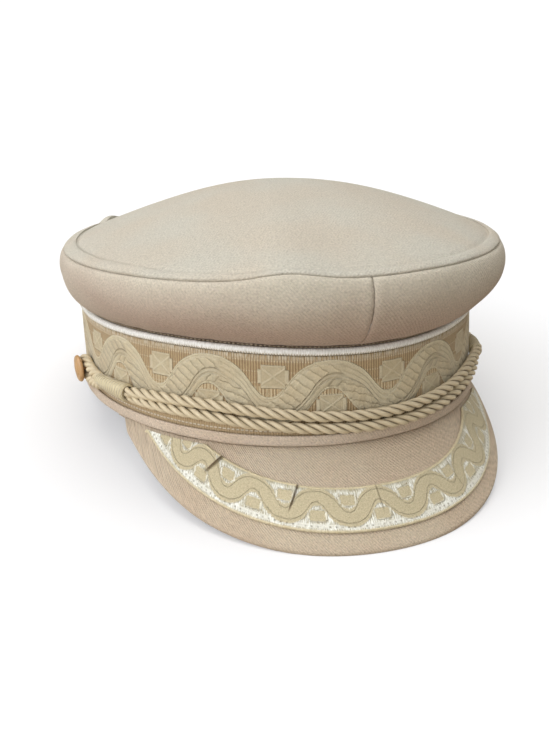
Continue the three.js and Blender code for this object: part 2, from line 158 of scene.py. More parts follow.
# Two shades of the same cloth for each part, as it has faded and as the light takes its nap
CLOTH_TOP = ((192, 187, 174), (193, 183, 167))
CLOTH_SIDE = ((200, 192, 176), (196, 186, 170))
# Painted shade for the side's lower part near the band: darker and pinker, for the shade and warm bounce
# light there
CLOTH_SIDE_PAINTED_SHADE = ((181, 160, 145), (176, 153, 138))
CLOTH_PEAK = ((200, 184, 162), (196, 176, 153))
# Painted light: the binding's twill is a lighter copy of the cap's cloth, for the bounce light on its outward
# and downward face
CLOTH_BINDING_PAINTED_LIGHT = ((214, 198, 180), (209, 190, 170))


# Small tools

def smoothed(share):
    share = np.clip(share, 0, 1)
    return share * share * (3 - 2 * share)


def look_up(table, degrees, column):
    """Reads one column of a table of rising angles, smoothly between its rows."""
    angles = np.array(table["angle"], float)
    values = np.array(table[column], float)
    i = np.clip(np.searchsorted(angles, degrees, side="right") - 1, 0, len(angles) - 2)
    eased = smoothed((degrees - angles[i]) / (angles[i + 1] - angles[i]))
    return values[i] * (1 - eased) + values[i + 1] * eased


def wrapped(degrees):
    return (np.asarray(degrees, float) + 180) % 360 - 180


def hump(x, middle, width, rise=1.0):
    return rise * np.exp(-(((x - middle) / width) ** 2))


def on_oval(degrees, offset, height):
    """Points at an angle round the head, an offset outwards and a height."""
    degrees, offset, height = np.broadcast_arrays(degrees, offset, height)
    t = np.radians(degrees)
    sin, cos = np.sin(t), np.cos(t)
    share = 1 - BACK_NARROWING * (1 - cos) / 2
    change = -BACK_NARROWING * sin / 2
    dx = HALF_WIDTH * (change * sin + share * cos)
    dy = -HALF_LENGTH * (change * cos - share * sin)
    size = np.hypot(dx, dy)
    return np.stack([
        HALF_WIDTH * share * sin + offset * dy / size,
        -HALF_LENGTH * share * cos - offset * dx / size,
        height,
    ], -1)


def outwards(degrees):
    """The unit vector that points away from the head, square to the oval."""
    return on_oval(degrees, 1, 0) - on_oval(degrees, 0, 0)


def arc_length(degrees):
    """Length along the band's outside from the front, growing with the angle."""
    fine = np.linspace(-200, 200, 8001)
    steps = np.linalg.norm(np.diff(on_oval(fine, 0, 0), axis=0), axis=1)
    length = np.concatenate([[0], np.cumsum(steps)])
    return np.interp(degrees, fine, length - np.interp(0, fine, length))


def flare(height):
    return BAND_FLARE * np.maximum(0, 1 - height / BAND_HEIGHT)


def to_row(points):
    """From the cap's own frame in millimetres to the row's frame in metres."""
    x, y, z = np.moveaxis(np.asarray(points, float), -1, 0)
    tipped = np.stack([x, y * TILT_COS + z * TILT_SIN, -y * TILT_SIN + z * TILT_COS], -1)
    return (tipped + PLACE) / 1000


def unevenness(points, cloth):
    """Smooth random waves over points, of the size and reach that the table gives for a cloth."""
    size, seed, reach = UNEVEN[cloth]
    random = np.random.default_rng(seed)
    total = np.zeros(points.shape[:-1])
    for _ in range(7):
        direction = random.normal(size=3)
        direction *= random.uniform(0.6, 1.4) * 2 * math.pi / size / np.linalg.norm(direction)
        total += np.sin(points @ direction + random.uniform(0, 2 * math.pi))
    return total / 3.5 * reach


def swayed(points):
    """Settles every point as the soft cap has settled.

    The band's upper edge rises and falls a little round the head, with the crown's foot, and the band
    leans in below on the left.
    """
    x, y, z = np.moveaxis(points, -1, 0)
    degrees = np.degrees(np.arctan2(x / HALF_WIDTH, -y / HALF_LENGTH))
    quarter = float(arc_length(180) - arc_length(-180)) / 4
    rise = SWAY["lift"] + SWAY["wave"] * np.cos(2 * math.pi * (arc_length(degrees) + SWAY["shift"]) / quarter)
    begun = smoothed((z - SWAY["from"]) / (SWAY["full"] - SWAY["from"]))
    ended = smoothed((z - SWAY["until"]) / (SWAY["gone"] - SWAY["until"]))
    lean_in = hump(degrees, LEAN_IN["angle"], LEAN_IN["width"], LEAN_IN["depth"])
    lean_in = lean_in * (1 - smoothed(z / LEAN_IN["height"]))
    return np.stack([x + lean_in, y, z + rise * begun * (1 - ended)], -1)


# Meshes

def new_object(name, data):
    """A new object, linked to the scene."""
    item = bpy.data.objects.new(name, data)
    bpy.context.scene.collection.objects.link(item)
    return item


def make_mesh(name, points, faces, uvs, material, nodes=(), slot=None):
    """A smooth mesh from points in the cap's frame. Uvs holds one pair in millimetres for each corner."""
    mesh = bpy.data.meshes.new(name)
    mesh.from_pydata(to_row(swayed(points)).tolist(), [], faces)
    layer = mesh.uv_layers.new(name="flat_mm")
    layer.data.foreach_set("uv", np.asarray(uvs, np.float32).ravel())
    mesh.materials.append(material)
    mesh.shade_smooth()
    piece = new_object(name, mesh)
    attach(piece, "root")
    if nodes:
        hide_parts(*nodes)
    return piece


def grid_faces(rows, columns, closed_rows, closed_columns):
    """Corner numbers of a grid's faces, and of the same faces in a grid with a seam."""
    i, j = np.meshgrid(
        np.arange(rows if closed_rows else rows - 1),
        np.arange(columns if closed_columns else columns - 1), indexing="ij",
    )
    i, j = i.ravel(), j.ravel()
    corners = [(i, j), (i + 1, j), (i + 1, j + 1), (i, j + 1)]
    faces = np.stack([(a % rows) * columns + b % columns for a, b in corners], -1)
    seamed = columns + 1 if closed_columns else columns
    return faces, np.stack([a * seamed + b for a, b in corners], -1)


def grid_piece(name, points, uv, material, closed_rows=False, closed_columns=False, caps=False, **words):
    """A piece from a grid of points. Uv has one more row or column than the points where it closes."""
    rows, columns = points.shape[:2]
    faces, uv_faces = grid_faces(rows, columns, closed_rows, closed_columns)
    face_list = faces.tolist()
    uvs = uv.reshape(-1, 2)[uv_faces].reshape(-1, 2)
    if caps:
        last = (rows - 1) * columns
        face_list += [list(range(columns)), list(range(last, last + columns))[::-1]]
        uvs = np.concatenate([uvs, np.zeros((2 * columns, 2))])
    return make_mesh(name, points.reshape(-1, 3), face_list, uvs, material, **words)


def lengths(points, axis):
    """Length along one axis of a grid of points, from zero."""
    steps = np.linalg.norm(np.diff(points, axis=axis), axis=-1)
    start = np.zeros_like(np.take(steps, [0], axis=axis))
    return np.cumsum(np.concatenate([start, steps], axis=axis), axis=axis)


def paired(u, v):
    """Flat coordinates of a grid, from a value for each row or point and one for each column or point."""
    return np.stack(np.broadcast_arrays(u, v), -1)


def ring_piece(name, sections, degrees, material, **words):
    """A closed ring: sections is a grid of points, round the head and round the section."""
    closed = np.concatenate([sections, sections[:1]])
    closed = np.concatenate([closed, closed[:, :1]], axis=1)
    uv = paired(arc_length(np.append(degrees, degrees[0] + 360))[:, None], lengths(closed, 1))
    return grid_piece(name, sections, uv, material, closed_rows=True, closed_columns=True, **words)


def around(count):
    return -180 + np.arange(count) * 360 / count


def rounded(corners, steps, share):
    """A closed list of corners with each corner cut into a smooth bend."""
    corners = np.array(corners, float)
    out = []
    for before, here, after in zip(np.roll(corners, 1, 0), corners, np.roll(corners, -1, 0)):
        a, b = here + (before - here) * share, here + (after - here) * share
        for t in np.linspace(0, 1, steps):
            out.append((1 - t) ** 2 * a + 2 * t * (1 - t) * here + t * t * b)
    return out


# Materials

def operation(kind, swapped=False):
    """A method that combines a value with others in a math node."""
    def combined(self, *others):
        values = (*others, self) if swapped else (self, *others)
        return self.graph.math(kind, *values)
    return combined


class Value:
    """An output of a shader node, to be combined with plain arithmetic."""

    def __init__(self, graph, output):
        self.graph = graph
        self.output = output

    __add__ = operation("ADD")
    __sub__ = operation("SUBTRACT")
    __rsub__ = operation("SUBTRACT", swapped=True)
    __mul__ = operation("MULTIPLY")
    __truediv__ = operation("DIVIDE")
    abs = operation("ABSOLUTE")
    fraction = operation("FRACT")
    # Runs from 0 to a reach and back again
    pingpong = operation("PINGPONG")

    def wave(self, period):
        """A sine of the given period, from -1 to 1."""
        return self.graph.math("SINE", self * (2 * math.pi / period))

    def over(self, limit, soft):
        """0 below the limit and 1 above it, with a soft step."""
        node = self.graph.add("ShaderNodeMapRange")
        node.interpolation_type = "SMOOTHSTEP"
        self.graph.join(self, node.inputs["Value"])
        node.inputs["From Min"].default_value = limit - soft
        node.inputs["From Max"].default_value = limit + soft
        return Value(self.graph, node.outputs["Result"])

    def under(self, limit, soft):
        return 1 - self.over(limit, soft)

    def near(self, middle, width, soft):
        """1 up to a width from the middle value, and 0 further away."""
        return (self - middle).abs().under(width, soft)


class Graph:
    """The node graph of one material."""

    def __init__(self, name, roughness):
        self.material = bpy.data.materials.new(name)
        self.material.use_nodes = True
        self.tree = self.material.node_tree
        self.shader = self.tree.nodes["Principled BSDF"]
        self.shader.inputs["Roughness"].default_value = roughness

    def add(self, kind):
        return self.tree.nodes.new(kind)

    def join(self, value, socket):
        """Feeds a socket from a value of the graph, a number, or a screen colour of three numbers."""
        if isinstance(value, Value):
            self.tree.links.new(value.output, socket)
        elif isinstance(value, tuple) and len(value) == 3:
            socket.default_value = linear(value)
        else:
            socket.default_value = value

    def math(self, kind, *values):
        node = self.add("ShaderNodeMath")
        node.operation = kind
        for value, socket in zip(values, node.inputs):
            self.join(value, socket)
        return Value(self, node.outputs[0])

    def greatest(self, *values):
        total = values[0]
        for value in values[1:]:
            total = self.math("MAXIMUM", total, value)
        return total

    def lengths(self):
        """The piece's flat coordinates, in millimetres."""
        source = self.add("ShaderNodeUVMap")
        source.uv_map = "flat_mm"
        parts = self.add("ShaderNodeSeparateXYZ")
        self.tree.links.new(source.outputs[0], parts.inputs[0])
        return Value(self, parts.outputs[0]), Value(self, parts.outputs[1])

    def noise_at(self, place, scale, detail):
        node = self.add("ShaderNodeTexNoise")
        self.tree.links.new(place, node.inputs["Vector"])
        node.inputs["Scale"].default_value = scale
        node.inputs["Detail"].default_value = detail
        return Value(self, node.outputs["Fac"])

    def noise(self, x, y, size, detail=2.0):
        """Soft random values about 0.5 that vary over a size in millimetres."""
        place = self.add("ShaderNodeCombineXYZ")
        self.join(x, place.inputs[0])
        self.join(y, place.inputs[1])
        return self.noise_at(place.outputs[0], 1 / size, detail)

    def space_noise(self, size):
        """The same, over the row's own space, for patches that cross from piece to piece."""
        return self.noise_at(self.add("ShaderNodeTexCoord").outputs["Object"], 1000 / size, 2.0)

    def curve(self, value, xs, ys):
        """Reads a smooth curve through points, all from 0 to 1."""
        node = self.add("ShaderNodeFloatCurve")
        points = node.mapping.curves[0].points
        while len(points) < len(xs):
            points.new(0.5, 0.5)
        for point, x, y in zip(points, xs, ys):
            point.location = (x, y)
        node.mapping.update()
        self.join(value, node.inputs["Value"])
        return Value(self, node.outputs[0])

    def mix(self, share, first, second):
        """A colour between two colours."""
        node = self.add("ShaderNodeMix")
        node.data_type = "RGBA"
        self.join(share, node.inputs[0])
        self.join(first, node.inputs[6])
        self.join(second, node.inputs[7])
        return Value(self, node.outputs[2])

    def layered(self, colour, *layers):
        """A colour with others laid over it in turn, each by its own share."""
        for share, over in layers:
            colour = self.mix(share, colour, over)
        return colour

    def scaled(self, colour, factor):
        """A colour made lighter or darker by a factor."""
        node = self.add("ShaderNodeVectorMath")
        node.operation = "SCALE"
        self.join(colour, node.inputs[0])
        self.join(factor, node.inputs["Scale"])
        return Value(self, node.outputs[0])

    def finish(self, colour, height=None, roughness=None, sheen=0.0, coat=0.0):
        """Sets the colour, the relief in millimetres and the gloss."""
        self.join(colour, self.shader.inputs["Base Color"])
        if height is not None:
            node = self.add("ShaderNodeBump")
            node.inputs["Distance"].default_value = 0.001
            self.join(height, node.inputs["Height"])
            self.tree.links.new(node.outputs[0], self.shader.inputs["Normal"])
        if roughness is not None:
            self.join(roughness, self.shader.inputs["Roughness"])
        self.shader.inputs["Sheen Weight"].default_value = sheen
        self.shader.inputs["Sheen Roughness"].default_value = 0.45
        self.shader.inputs["Coat Weight"].default_value = coat
        return self.material


def linear(colour):
    """A screen colour from 0 to 255 as the shader's linear colour."""
    share = np.array(colour, float) / 255
    value = np.where(share <= 0.04045, share / 12.92, ((share + 0.055) / 1.055) ** 2.4)
    return (*value.tolist(), 1.0)


def twill_material(name, shades, lean=1.0, ridge_light=0.05, painted_shades=None):
    """Twill: fine slanting ridges of thread, with soft patches of colour. Lean turns the ridges.

    Painted shades are darker, pinker colours for the crown's side near the band at the front, a painted shade
    that stands in for the shade and warm bounce light there.
    """
    graph = Graph(name, 0.9)
    u, v = graph.lengths()
    across = u * (0.80 * lean) + v * 0.60 + graph.noise(u, v, 7.0) * 0.7
    ridge = across.wave(TWILL["ridge"]) * 0.5 + 0.5
    thread = u.wave(TWILL["thread_along"]) * v.wave(TWILL["thread_across"])
    grain = graph.noise(u, v, 0.8, 3.0)
    small_patches = graph.noise(u, v, 2.6, 3.0)
    patches = graph.space_noise(TWILL["patch"]).over(0.5, 0.16)
    colour = graph.mix(patches, *shades)
    if painted_shades:
        # Painted shade: low on the side near the band, and less so towards the back, the colour turns to the
        # darker painted shades
        free_of_painted_shade = graph.greatest(v.over(29, 13), u.abs().over(115, 50) * 0.8)
        colour = graph.mix(free_of_painted_shade, graph.mix(patches, *painted_shades), colour)
    light = ridge * ridge_light + (grain - 0.5) * 0.8 + (small_patches - 0.5) * 0.2 + thread * 0.05 + 0.94
    height = ridge * (ridge_light * 2.4) + thread * 0.06 + grain * 0.4
    return graph.finish(graph.scaled(colour, light), height, sheen=0.12)


def wave_shapes(graph, along, from_square, above, period, across=1.0, soft=0.22, grown=0.0, broad=1.0):
    """The ribbon's pattern: a wave, with a notched and crossed square in each hollow.

    It is worked out from the length past a crest, the length past a hollow's square and the height over
    the ribbon's middle. It is the same after half a turn. Across is its size across the ribbon, grown
    widens the wave on both sides, and broad is a further size of the squares along the ribbon.
    """
    half = PATTERN["length"][-1]
    low, high = -2.0, 14.0
    shares = np.array(PATTERN["length"]) / half, (np.array(PATTERN["height"]) - low) / (high - low)
    scale = period / (2 * half)
    x = along.abs() / scale
    y = above / across
    upper = graph.curve(x / half, *shares) * (high - low) + low
    lower = 0 - (graph.curve(1 - x / half, *shares) * (high - low) + low)
    edge = soft / across
    wave = (upper - y).over(-grown, edge) * (y - lower).over(-grown, edge)
    squares, crosses, borders = [], [], []
    upper_place = (from_square.abs() / scale / broad, y - PATTERN["square"])
    lower_place = (x / broad, y + (PATTERN["square"] - 1.0))
    for dx, dy in (upper_place, lower_place):
        dy = dy.abs()
        wide = dx.under(6.1, edge) * dy.under(2.7, edge)
        tall = dx.under(4.8, edge) * dy.under(4.4, edge)
        square = graph.greatest(wide, tall)
        bow = (dx / 4.9 - dy / 3.4).abs().under(0.14, 0.07)
        border = graph.greatest(dx.over(4.7, 0.3), dy.over(3.7, 0.3))
        squares.append(square)
        crosses.append(graph.greatest(bow, border) * square)
        borders.append(border * square)
    return {
        "y": y, "upper": upper, "lower": lower, "wave": wave, "raised": graph.greatest(wave, *squares),
        "square": graph.greatest(*squares), "cross": graph.greatest(*crosses),
        "border": graph.greatest(*borders),
    }


def past_crest(u, crest, period):
    """Signed length from the nearest crest of the wave."""
    return (((u - crest) / period + 0.5).fraction() - 0.5) * period


def feathers(u, v, lean, period):
    """Folds across a leaf, at a lean in degrees: each rises from 0 to 1 and drops."""
    return ((u * math.sin(math.radians(lean)) + v * math.cos(math.radians(lean))) / period).fraction()


def band_ribbon_material():
    """Woven ribbon: a khaki cream leaf wave and squares that stand over a ribbed bronze ground."""
    graph = Graph("band_ribbon_weave_painted_light", 0.7)
    u, v = graph.lengths()
    period, crest = PATTERN["period"], PATTERN["crest"]
    along = past_crest(u, crest, period)
    from_square = past_crest(u, crest + PATTERN["square_past_crest"], period)
    above = v - PATTERN["middle"] + (graph.noise(u, v, 0.7) - 0.5) * 0.45
    shapes = wave_shapes(graph, along, from_square, above, period)
    raised = shapes["raised"]
    from_top = (shapes["upper"] - above) * 0.8
    in_leaf = from_top.over(1.4, 0.4) * (above - shapes["lower"]).over(0.8, 0.4)
    stem_side = along.over(4.5, 1.5)
    slanted = above + graph.noise(u, v, 2.4) * 2.0
    grain = graph.noise(u, v * 0.7, 0.5, 3.0)
    cloudy = graph.noise(u, v, 12.0)
    worn = graph.noise(u, v, 2.2, 3.0)

    # The leaf's midrib runs up the left side of each arch, with slanting folds on both sides of it
    rib = graph.curve((along + 17.0) / 27.0, *LEAF_RIB) * 16.0 - 8.6
    from_rib = (above - rib) * 0.72
    midrib = from_rib.abs().near(0.55, 0.24, 0.2) * along.under(8.0, 1.5) * along.over(-16.0, 1.0)
    in_folds = in_leaf * (1 - stem_side)
    over_rib, under_rib = from_rib.over(0.9, 0.3), from_rib.under(-0.9, 0.3)
    outer_folds, inner_folds = feathers(along, slanted, 36, 3.1), feathers(along, slanted, -52, 2.9)
    folds = (outer_folds * over_rib + inner_folds * under_rib) * in_folds
    veins = graph.greatest(outer_folds.under(0.14, 0.1) * over_rib, inner_folds.under(0.14, 0.1) * under_rib)
    veins = veins * in_folds

    # On the right side a stem of fine lines runs along the edge, with folds beside it
    stem = from_top.pingpong(0.85).under(0.24, 0.2) * from_top.under(5.2, 0.3)
    stem = stem * stem_side * from_top.over(0.9, 0.2)
    stem_folds = feathers(along, slanted, 18, 2.8)
    in_stem = from_top.over(5.4, 0.4) * stem_side * in_leaf
    beads = (u * 0.8 + v * 0.7).pingpong(0.55).over(0.16, 0.12) * 0.6 + 0.4
    lower_rim = (above - shapes["lower"]).near(0.4, 0.35, 0.25)
    outline = graph.greatest(from_top.near(0.3, 0.3, 0.2), lower_rim) * beads
    grooves = graph.greatest(veins, midrib * 0.9, stem * 0.8, stem_folds.under(0.14, 0.1) * in_stem)

    ribs = u.wave(1.06) * 0.5 + 0.5
    rows = (v - 33.2).pingpong(2.08).under(0.2, 0.16) * ribs.over(0.45, 0.3)
    slot_bars = u.wave(1.45).over(0.1, 0.4) * shapes["y"].abs().under(2.4, 0.3)
    ground = graph.layered(
        graph.mix(ribs, (152, 126, 91), (191, 168, 131)),
        # Painted light: the ground is lightened along the ribbon's foot, below the cords
        (v.under(7.5, 1.5) * 0.55, (198, 174, 138)),
        (graph.greatest(rows * 0.75, slot_bars * 0.55), (226, 210, 174)),
    )
    pattern = graph.layered(
        graph.mix(cloudy.over(0.5, 0.2), (210, 199, 171), (202, 188, 158)),
        (outline * 0.7, (229, 219, 188)),
        (grooves * (worn * 0.55 + 0.05), (164, 146, 112)),
        ((shapes["square"] - shapes["cross"]) * 0.35, (170, 152, 116)),
    )
    stitched = v.near(5.9, 0.28, 0.14) * u.pingpong(0.9).over(0.3, 0.15)
    fringe = v.over(33.4, 1.3) * graph.noise(u, v * 0.1, 0.42).over(0.5, 0.12)
    colour = graph.layered(
        graph.mix(raised, ground, pattern),
        (stitched * 0.85, (232, 222, 202)),
        (fringe * 0.6, (228, 221, 203)),
    )
    shaded = (folds - in_folds * 0.5 + (stem_folds - 0.5) * in_stem) * raised
    light = (grain - 0.5) * 0.4 + (worn - 0.5) * 0.3 + cloudy * 0.1 + shaded * 0.2 + 0.88
    height = (
        raised * 0.42 + outline * raised * 0.2 - grooves * 0.2 + shapes["cross"] * 0.16 + worn * 0.4
        + folds * 0.8 + stem_folds * in_stem * 0.7
        + (ribs * 0.16 + rows * 0.12) * (1 - raised) + grain * 0.14 + stitched * 0.25
    )
    return graph.finish(graph.scaled(colour, light), height, sheen=0.15)


def past_pleat(pleat, length, margin):
    """How far a place lies past a pleat's line, and its share of the way from the line's start to its end."""
    (from_length, from_margin), (to_length, to_margin) = pleat["from"], pleat["to"]
    share = (from_margin - margin) / (from_margin - to_margin)
    return length - (share * (to_length - from_length) + from_length), share


def crease_shade(graph, u, v):
    """1 along the pleats of the peak's ribbon, where each one folds over."""
    lines = []
    for pleat in PLEATS:
        past, _ = past_pleat(pleat, u, v)
        begun = v.over(pleat["to"][1] + 2.0, 1.8)
        lines.append(past.near(0.35, 0.32, 0.28) * begun * min(1.0, pleat["rise"]))
    return graph.greatest(*lines)


def peak_ribbon_material():
    """Woven ribbon: a khaki cream wave and squares on a ragged silvery satin ground."""
    graph = Graph("peak_ribbon_weave", 0.6)
    u, v = graph.lengths()
    threads = graph.noise(u, v * 0.14, 0.42, 3.0)
    rough = graph.noise(u, v, 1.1, 3.0) - 0.5
    grain = graph.noise(u, v, 0.5, 3.0)
    gleam = graph.noise(u, v, 4.5)
    period, crest, grown = PEAK_PATTERN["period"], PEAK_PATTERN["crest"], PEAK_PATTERN["grown"]
    ragged = u + rough * 1.2
    below = PEAK_PATTERN["middle"] - v - (threads - 0.5) * 0.5 - rough
    along, from_square = past_crest(ragged, crest + period / 2, period), past_crest(ragged, crest, period)
    shapes = wave_shapes(graph, along, from_square, below, period, PEAK_PATTERN["across"],
                         PEAK_PATTERN["soft"], grown, PEAK_PATTERN["broad"])
    raised = shapes["raised"]
    inside = (shapes["upper"] - shapes["y"], shapes["y"] - shapes["lower"])
    wave_rim = graph.greatest(*(depth.near(-grown, 0.6, 0.35) for depth in inside))
    contour = graph.greatest(*(depth.near(1.9, 0.25, 0.25) for depth in inside)) * shapes["wave"]

    silver_share = threads.over(0.5, 0.1) * 0.75 + gleam.over(0.52, 0.12) * 0.45
    silver_share = silver_share * (1 - v.over(24.2, 0.7) * 0.6) * (1 - u.over(66, 12) * 0.3)
    silver_share = graph.greatest(silver_share, v.near(10.3, 0.9, 0.3) * 0.7)
    dots = u.pingpong(1.1).under(0.36, 0.16) * v.near(10.1, 0.36, 0.16)
    edge_thread = graph.greatest(v.under(8.9, 0.15), v.over(24.9, 0.15))
    silver = graph.mix(silver_share, (166, 156, 124), (244, 244, 236))
    cream = graph.mix(grain.over(0.5, 0.2), (182, 170, 139), (194, 182, 151))
    cream = graph.mix(contour * gleam.over(0.46, 0.1) * 0.35, cream, (140, 126, 94))
    bright_rim = graph.greatest(wave_rim * threads.over(0.45, 0.1) * 0.75, shapes["border"] * 0.55)
    colour = graph.layered(
        graph.mix(raised * (1 - bright_rim), silver, cream),
        (shapes["border"] * gleam.over(0.45, 0.15) * 0.7, (236, 232, 214)),
        (dots * gleam.over(0.42, 0.1) * 0.6, (112, 104, 78)),
        (edge_thread * 0.85, (214, 200, 164)),
        (crease_shade(graph, u, v) * 0.85, (92, 70, 44)),
    )
    colour = graph.scaled(colour, (grain - 0.5) * 0.5 + rough * 0.35 + 1.0)
    height = (
        raised * 0.5 + shapes["border"] * 0.2 - contour * 0.3 + threads * (1 - raised) * 0.5 + grain * 0.12
        + edge_thread * 0.15 + rough * 0.3
    )
    return graph.finish(colour, height, roughness=raised * 0.38 + 0.32, sheen=0.1)


def satin_material():
    """White satin stitch: bright on top, with painted shade greying it on the right, and small teeth along
    its lower edge.
    """
    graph = Graph("satin_white_painted_shade", 0.28)
    u, v = graph.lengths()
    wander = graph.noise(u, v, 5.0)
    tooth = (u + wander * 0.6).wave(1.05) * 0.5 + 0.5
    low = v.under(1.5, 0.4)
    strands = graph.noise(u, v * 0.15, 0.4)
    white = graph.mix(strands.over(0.5, 0.3), (212, 211, 204), (255, 255, 254))
    # Painted shade: the satin is greyed on its right side, where it lies in shade
    painted_shade_right = u.over(100, 60) * u.under(240, 40)
    white = graph.mix(painted_shade_right * 0.55, white, (176, 178, 158))
    colour = graph.mix(low * tooth.over(0.45, 0.25) * 0.7, white, (168, 152, 122))
    height = tooth * low * 0.22 + strands * 0.2 + wander * 0.15
    return graph.finish(colour, height, roughness=low * 0.35 + 0.26, sheen=0.1, coat=0.25)


def cord_material():
    """Soft silky yarn, with fine fibres along each strand and shade where the strands meet.

    The second coordinate is the length round a strand from its outermost line.
    """
    graph = Graph("cord_silk", 0.5)
    u, v = graph.lengths()
    inwards = v.pingpong(3.4)
    fibres = graph.noise(u * 0.16 + v * 0.5, v, 0.36)
    pale = graph.mix(graph.noise(u, v, 9.0).over(0.5, 0.2), (214, 200, 171), (206, 191, 160))
    shaded = graph.mix(inwards.over(1.45, 1.3) * 0.45, pale, (150, 128, 90))
    colour = graph.mix(inwards.over(1.95, 0.55) * 0.85, shaded, (76, 57, 34))
    return graph.finish(graph.scaled(colour, fibres * 0.3 + 0.88), fibres * 0.14, sheen=0.1)


def wound_material():
    """The same yarn, wound in turns side by side, with painted shade in the grooves between the turns."""
    graph = Graph("wound_silk_painted_shade", 0.5)
    u, v = graph.lengths()
    fibres = graph.noise(u, v * 0.14, 0.36)
    shaded_groove = (u + graph.noise(u, v, 4.0) * 0.9).pingpong(0.95).under(0.2, 0.24)
    # Painted shade: the grooves between the turns are darkened in colour, as well as sunk in the relief
    colour = graph.mix(shaded_groove * 0.5, (208, 195, 160), (128, 106, 72))
    return graph.finish(graph.scaled(colour, fibres * 0.26 + 0.86), fibres * 0.14 - shaded_groove * 0.3, sheen=0.3)


def button_material():
    graph = Graph("button_tan", 0.35)
    u, v = graph.lengths()
    grain = graph.noise(u * 0.3, v, 1.6, 4.0)
    colour = graph.mix(grain.over(0.5, 0.2), (200, 162, 116), (182, 140, 92))
    return graph.finish(colour, grain * 0.12, coat=0.3)


def thread_material():
    graph = Graph("stitch_thread", 0.6)
    grain = graph.noise(*graph.lengths(), 0.3)
    return graph.finish(graph.mix(grain, (214, 200, 176), (190, 172, 146)), grain * 0.1)


# Crown

def ring_at(form, degrees):
    """Offset and height of a ring that stands out and rises by its own shares to the front and right."""
    cos, sin = np.cos(np.radians(degrees)), np.sin(np.radians(degrees))
    offset = form["offset"] + form["front"] * cos + form["right"] * sin
    return offset, BAND_HEIGHT + form["height"] + form["front_rise"] * cos + form["right_rise"] * sin


def rim_at(degrees):
    offset, height = ring_at(RIM, degrees)
    saddle = RIM["saddle"] * np.cos(2 * np.radians(degrees))
    fold = hump(wrapped(degrees), RIM_FOLD["angle"], RIM_FOLD["width"], RIM_FOLD["rise"])
    return offset, height + saddle + fold


def top_height(degrees, share):
    """Height of the domed top. Share is 0 at the middle and 1 at the rim."""
    offset, rim = rim_at(degrees)
    edge = on_oval(degrees, offset, 0)
    middle = BAND_HEIGHT + RIM["height"]
    cosine = 0.5 + 0.5 * np.cos(np.pi * np.clip(share, 0, 1.2))
    form = DOME["roundness"] * cosine + (1 - DOME["roundness"]) * (1 - share ** 2)
    lean = 1 + share * (DOME["right_share"] * edge[..., 0] + DOME["back_share"] * edge[..., 1])
    return middle + (rim - middle) * share ** 2 + DOME["height"] * form * lean


def crown_top(material):
    """The domed top, with its edge turned down behind the piping, as a sheet of cloth."""
    degrees = around(STEPS["top"])[:, None]
    share = np.concatenate([np.linspace(0.004, 0.8, 60), np.linspace(0.81, 1.0, 34)])[None]
    offset, _ = rim_at(degrees)
    edge = on_oval(degrees, offset - CLOTH * 0.6 - GAP, 0)
    height = top_height(degrees, share)
    points = np.stack([edge[..., 0] * share, edge[..., 1] * share, height], -1)
    points[..., 2] += unevenness(points, "top") * (1 - share ** 4)
    reach = np.hypot(edge[..., 0], edge[..., 1])
    past_piping = reach * (1 - share) - look_up(PIPING, wrapped(degrees), "width")
    points[..., 2] -= hump(past_piping, 0.2, 1.3, 0.55) + 0.5 * smoothed((share - 0.985) / 0.015)
    seamed = np.concatenate([points, points[:1]])
    piece = grid_piece("crown_top_cloth", points, seamed[..., :2], material, closed_rows=True,
                       nodes=["crown_top"], slot="cap_twill")
    return thicken(piece, CLOTH - 0.2)


def thicken(piece, thickness):
    """Gives a sheet its thickness, inwards from the outer face."""
    modifier = piece.modifiers.new("thickness", "SOLIDIFY")
    modifier.thickness = thickness / 1000
    modifier.offset = -1
    modifier.use_even_offset = True
    return piece


def side_profile(degrees):
    """The side's outer face from its hem inside the band up to the rim: offsets and heights."""
    bulge_offset, bulge_height = ring_at(BULGE, degrees)
    rim_offset, rim_height = rim_at(degrees)
    wall = -RIBBON - BAND_WALL - 2 * GAP
    foot_offset, foot_height = CROWN_FOOT["offset"], CROWN_FOOT["height"]
    hem = [
        (wall, BAND_HEIGHT - CROWN_FOOT["allowance"]), (wall, BAND_HEIGHT - 1.2), (wall, BAND_HEIGHT + GAP),
        (wall + 0.7, foot_height),
    ]
    offsets = [np.full_like(bulge_offset, o) for o, _ in hem]
    heights = [np.full_like(bulge_offset, h) for _, h in hem]
    for a in np.radians(np.linspace(0, 90, 34)):
        offsets.append(foot_offset + (bulge_offset - foot_offset) * math.sin(a) ** 1.15)
        heights.append(bulge_height - (bulge_height - foot_height) * max(math.cos(a), 0) ** 1.15)
    for a in np.radians(np.linspace(0, 84, 18)[1:]):
        offsets.append(rim_offset + (bulge_offset - rim_offset) * math.cos(a))
        heights.append(bulge_height + (rim_height - bulge_height) * math.sin(a))
    for inwards, above in ((-0.1, 0.02), (0.4, 0.1), (0.9, 0.1)):
        offsets.append(rim_offset - inwards)
        heights.append(rim_height + above)
    return np.stack(offsets, -1), np.stack(heights, -1)


